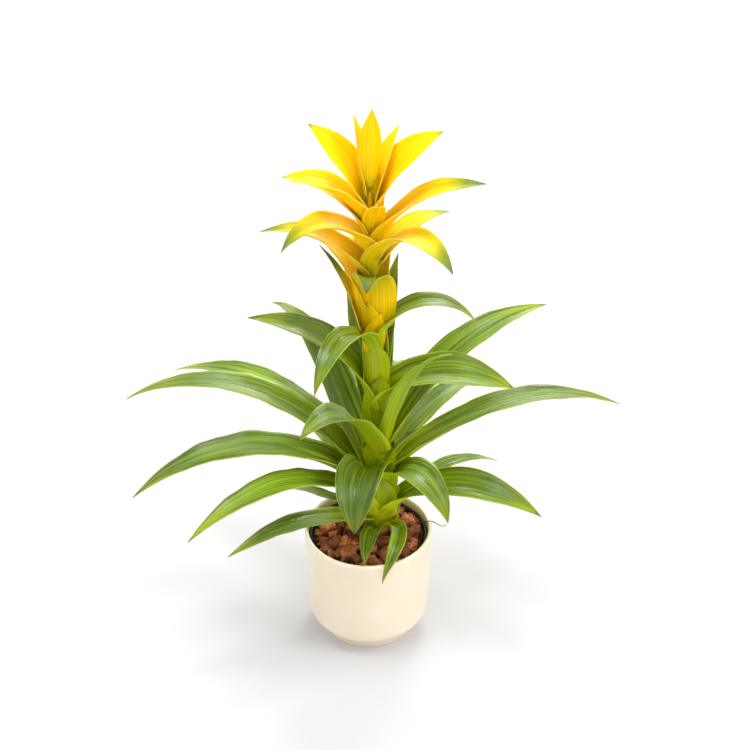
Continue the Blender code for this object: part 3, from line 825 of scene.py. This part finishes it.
def worn_chip(number, x, y, turn, length, width, thick):
    bm = bmesh.new()
    bmesh.ops.create_cube(bm, size=1.0)
    bmesh.ops.subdivide_edges(bm, edges=bm.edges, cuts=7, use_grid_fill=True)
    size = Vector((length, width, thick)) * MM
    for vert in bm.verts:
        rounded = vert.co.normalized() * BALL
        vert.co = vert.co.lerp(rounded, WEAR) * size
        at = vert.co + Vector((number * 0.1, 0.0, 0.0))
        vert.co += noise.noise_vector(at * BREAKS_PER_M) * BREAK_DEPTH
        vert.co += noise.noise_vector(at * GRAIN_PER_M) * GRAIN_DEPTH
    lift = SOIL_LEVEL + thick * MM / 2
    bm.transform(Matrix.Translation((x * MM, y * MM, lift)) @ Matrix.Rotation(math.radians(turn), 4, "Z")
                 @ Matrix.Rotation(CHIP_TILT * math.sin(number), 4, "X"))
    piece = shaped_piece(f"bark_chip_{number}_worn", bm, bark)
    mesh = piece.data
    mesh.set_sharp_from_angle(angle=math.radians(SHARP_EDGE))
    shades = mesh.attributes.new("chip_tone_and_gap_shade", "FLOAT", "POINT")
    shades.data.foreach_set("value", [0.55 + 0.35 * math.sin(number * 2.1)] * len(mesh.vertices))
    declare(piece, "bark_chip", f"bark_chip_{number}")


# x, y, turn in degrees, length, width and thickness in mm
CHIPS = ((-42, 8, 20, 15, 12, 8), (-34, -20, 65, 14, 10, 8), (-20, -34, 10, 16, 13, 8),
         (22, -32, 40, 13, 10, 7), (38, -10, 75, 17, 12, 9), (40, 14, 15, 14, 11, 8))
for number, row in enumerate(CHIPS, start=1):
    worn_chip(number, *row)
print("single chips:", len(CHIPS))

# %% [markdown]
# ## Roots and fibres
# Dry roots lie among the chips and one curls out over the rim. Each is a thin round tube along a wandering line. They
# are a few dozen at most, so plain mesh code sweeps a small ring along the points.

# %% Root finish and fibres
# Dry root skin: dull, brown and speckled where it flakes
root_skin, tree, shader = new_finish("root_dry_fibrous")
where = add(tree, "ShaderNodeTexCoord").outputs["Object"]
SPECKLE_MM = 1.1  # dry root skin is speckled every half millimetre: drawn coarser
speckle = add(tree, "ShaderNodeTexNoise", {"Vector": where, "Scale": 1 / (SPECKLE_MM * MM), "Detail": 2.0})
body = add(tree, "ShaderNodeValToRGB", {"Fac": speckle}, [(0.3, "#2a1a10"), (0.7, "#6e4c2c")])
fill(tree, shader, {"Base Color": body, "Roughness": 0.8})


def ring(bm, centre, across, other, radius, sides):
    """A ring of points round a centre, in the plane of two directions."""
    angles = [math.tau * k / sides for k in range(sides)]
    return [bm.verts.new(centre + (across * math.cos(a) + other * math.sin(a)) * radius) for a in angles]


def close_tube(bm, rings):
    """Joins rings of points into a closed tube."""
    for low_ring, high_ring in zip(rings, rings[1:]):
        for k in range(len(low_ring)):
            n = (k + 1) % len(low_ring)
            bm.faces.new((low_ring[k], low_ring[n], high_ring[n], high_ring[k]))
    bm.faces.new(rings[0][::-1])
    bm.faces.new(rings[-1])


def fibre_tube(bm, points, radius, sides=5):
    """Sweeps a small ring along the points, thinner towards the end, and closes both ends."""
    rings = []
    for i, point in enumerate(points):
        ahead = (points[min(i + 1, len(points) - 1)] - points[max(i - 1, 0)]).normalized()
        across = ahead.orthogonal().normalized()
        other = ahead.cross(across)
        size = radius * (1 - 0.6 * i / len(points))
        rings.append(ring(bm, point, across, other, size, sides))
    close_tube(bm, rings)


bm = bmesh.new()
ROOTS, ROOT_POINTS, ROOT_STEP = 46, 12, 1.6 * MM
ROOT_FROM, ROOT_SPREAD = 14, 38  # in mm: they start this far from the middle, over a ring this wide
ROOT_LIMIT, PULL_BACK = 54 * MM, 0.97  # they stay inside the nursery pot
CURL, CLIMB = 1.1, 0.35  # how sharply they turn and how far they rise and dip
GOLDEN_ANGLE = 2.399963  # spreads them evenly without a pattern
for number in range(ROOTS):
    spin = number * GOLDEN_ANGLE
    reach = (ROOT_FROM + ROOT_SPREAD * math.sqrt((number + 0.5) / ROOTS)) * MM
    start = Vector((math.cos(spin) * reach, math.sin(spin) * reach, SOIL_LEVEL + (3 + number % 4 * 1.3) * MM))
    heading, points = number * 1.7, []
    for i in range(ROOT_POINTS):
        points.append(start.copy())
        heading += CURL * noise.noise(Vector((number * 3.1, i * 0.45, 0.0)))
        start = start + Vector((math.cos(heading), math.sin(heading),
                                CLIMB * noise.noise(Vector((number, 9.0, i * 0.4))))) * ROOT_STEP
        if math.hypot(start.x, start.y) > ROOT_LIMIT:
            start *= PULL_BACK
            start.z = points[-1].z
    fibre_tube(bm, points, 0.55 * MM)
# One root leaves over the right of the rim and curls up at its end
rim_root = [Vector(p) * MM for p in ((50, 8, 117), (56, 7, 119.5), (61, 6, 121.5), (66, 5, 121.3), (70, 4, 119),
                                     (74, 3, 117.5), (77.5, 2.4, 118.2), (79, 2, 121))]
fibre_tube(bm, rim_root, 0.6 * MM)
declare(shaped_piece("root_fibres", bm, root_skin), "bark_chip")
print("roots:", ROOTS + 1)

# %% [markdown]
# ## Flower stem
# The stem is nearly hidden by the bases of the leaves and bracts that clasp it. It is round and fleshy, yellow-green,
# and thins towards the top, so a tube with a few slight swellings is enough.

# %% Flower stem
# Fleshy stem: a soft shine, fine fibres, and light that gets a little way in
stem_skin, tree, shader = new_finish("stem_fleshy")
where = add(tree, "ShaderNodeTexCoord").outputs["Object"]
height = add(tree, "ShaderNodeSeparateXYZ", (where,)).outputs["Z"]
rising = add(tree, "ShaderNodeMapRange", (height, 0.10, 0.48, 0.0, 1.0))
body = add(tree, "ShaderNodeValToRGB", {"Fac": rising},
           [(0.0, "#8fae22"), (0.45, "#a9b828"), (0.7, "#d0b21c"), (1.0, "#e8b40c")])
FIBRE_GAP_MM, FIBRE_RUN_MM = 1.43, 25  # fibres under the skin stand about 1.5 mm apart and fade after 25 mm
stretched = add(tree, "ShaderNodeVectorMath", (where, (1 / (FIBRE_GAP_MM * MM), 1 / (FIBRE_GAP_MM * MM),
                                                       1 / (FIBRE_RUN_MM * MM))), operation="MULTIPLY")
fibre = add(tree, "ShaderNodeTexNoise", {"Vector": stretched, "Scale": 1.0, "Detail": 2.0})
shade = add(tree, "ShaderNodeMapRange", (fibre, 0.3, 0.7, 0.86, 1.14))
veined = add(tree, "ShaderNodeVectorMath", {0: body, "Scale": shade}, operation="SCALE")
bump = add(tree, "ShaderNodeBump", {"Height": fibre, "Strength": 0.4, "Distance": 0.2 * MM})
fill(tree, shader, {"Base Color": veined, "Normal": bump, "Roughness": 0.45, "Subsurface Weight": 0.15,
                    "Subsurface Scale": 2 * MM})

STEM_DEPTH = 25 * MM  # how far it goes down into the bark
SECTIONS, ROUND = 90, 28
SWELLS_PER_M, SWELL = 60, 0.05  # the stem is a twentieth thicker or thinner about every 17 mm
TIP_SECTIONS = 3  # the last sections close it in a dome
bottom, top = -STEM_DEPTH, STEM_TIP.z - STEM_FOOT.z
bm = bmesh.new()
rings = []
for i in range(SECTIONS + 1):
    height = bottom + (top - bottom) * i / SECTIONS
    centre = stem_point(height)
    radius = stem_radius(height) * (1.0 + SWELL * noise.noise(Vector((0.0, 0.0, height * SWELLS_PER_M))))
    radius *= math.sqrt(max(0.02, 1 - max(0.0, (i - SECTIONS + TIP_SECTIONS) / TIP_SECTIONS) ** 2))
    rings.append(ring(bm, centre, Vector((1, 0, 0)), Vector((0, 1, 0)), radius, ROUND))
close_tube(bm, rings)
stem = shaped_piece("flower_stem_fleshy", bm, stem_skin)
declare(stem, "stem", "flower_stem")
print("stem faces:", len(stem.data.polygons))

# %% [markdown]
# ## Floor, light and camera
# The plant stands on a plain white sweep in a bright studio. The world gives the even white light that keeps shadows
# faint. Three softboxes, above, behind and on the right, are what the waxy leaves mirror. The camera looks down on
# the plant from a little over a metre away.

# %% Floor
# Matt paper: no highlight, only soft shadows, and a painted glow that grows away from the plant
paper, tree, shader = new_finish("studio_paper_matt")
where = add(tree, "ShaderNodeTexCoord").outputs["Object"]
BUCKLE_MM = 167  # painted shade: a roll of paper never lies quite flat, so the shade of its buckles is painted into its tone, drifting over a hand's width
painted_buckle_shade = add(tree, "ShaderNodeTexNoise", {"Vector": where, "Scale": 1 / (BUCKLE_MM * MM), "Detail": 2.0})
body = add(tree, "ShaderNodeValToRGB", {"Fac": painted_buckle_shade}, [(0.3, "#bdbcbe"), (0.7, "#c2c1c3")])
away = add(tree, "ShaderNodeVectorMath", (where,), operation="LENGTH").outputs["Value"]
# Painted light: the paper glows, more the further it lies from the plant, standing in for the sweep lit further back
# where the softboxes don't reach
painted_glow_by_distance = add(tree, "ShaderNodeMapRange", (away, 0.25, 2.6, 0.10, 0.58))
fill(tree, shader, {"Base Color": body, "Roughness": 0.9, "Specular IOR Level": 0.2,
                    "Emission Color": linear("#ffffff"), "Emission Strength": painted_glow_by_distance})
HALF_FLOOR = 12.0
mesh = bpy.data.meshes.new("studio_floor")
mesh.from_pydata([(-HALF_FLOOR, -HALF_FLOOR, 0), (HALF_FLOOR, -HALF_FLOOR, 0), (HALF_FLOOR, HALF_FLOOR, 0),
                  (-HALF_FLOOR, HALF_FLOOR, 0)], [], [(0, 1, 2, 3)])
mesh.materials.append(paper)
floor = link_piece("studio_floor", mesh)
print("floor ready")

# %% Lights
scene = bpy.context.scene
world = bpy.data.worlds.new("studio_white")
world.use_nodes = True
background = world.node_tree.nodes["Background"]
background.inputs["Color"].default_value = linear("#ffffff")
background.inputs["Strength"].default_value = 1.0
scene.world = world


def softbox(name, place, aim, width, depth, power):
    light = bpy.data.lights.new(name, "AREA")
    light.shape = "RECTANGLE"
    light.size, light.size_y = width, depth
    light.energy = power
    lamp = bpy.data.objects.new(name, light)
    lamp.location = place
    lamp.rotation_euler = (Vector(aim) - Vector(place)).to_track_quat("-Z", "Y").to_euler()
    scene.collection.objects.link(lamp)


softbox("softbox_right", (1.25, -0.5, 1.4), (0.0, 0.0, 0.28), 0.6, 0.6, 10)
softbox("softbox_back", (0.3, 1.6, 1.35), (0.0, 0.0, 0.25), 1.0, 0.35, 24)
softbox("softbox_top", (-0.15, -0.1, 2.0), (0.0, 0.0, 0.25), 0.7, 0.45, 20)

# %% Camera
camera = bpy.data.cameras.new("camera")
camera.sensor_width = 36.0
LENS_PER_WIDTH = 1.568  # focal length as a share of the picture's width
LOOKS_DOWN = 31.0  # degrees
camera.lens = LENS_PER_WIDTH * camera.sensor_width
camera.clip_end = 40.0
viewer = bpy.data.objects.new("camera", camera)
viewer.location = (0.0066, -0.9417, 0.864)
viewer.rotation_euler = (math.radians(90 - LOOKS_DOWN), 0.0, 0.0)
scene.collection.objects.link(viewer)
scene.camera = viewer
scene.view_settings.view_transform = "Standard"
print("lens:", round(camera.lens, 1), "mm")
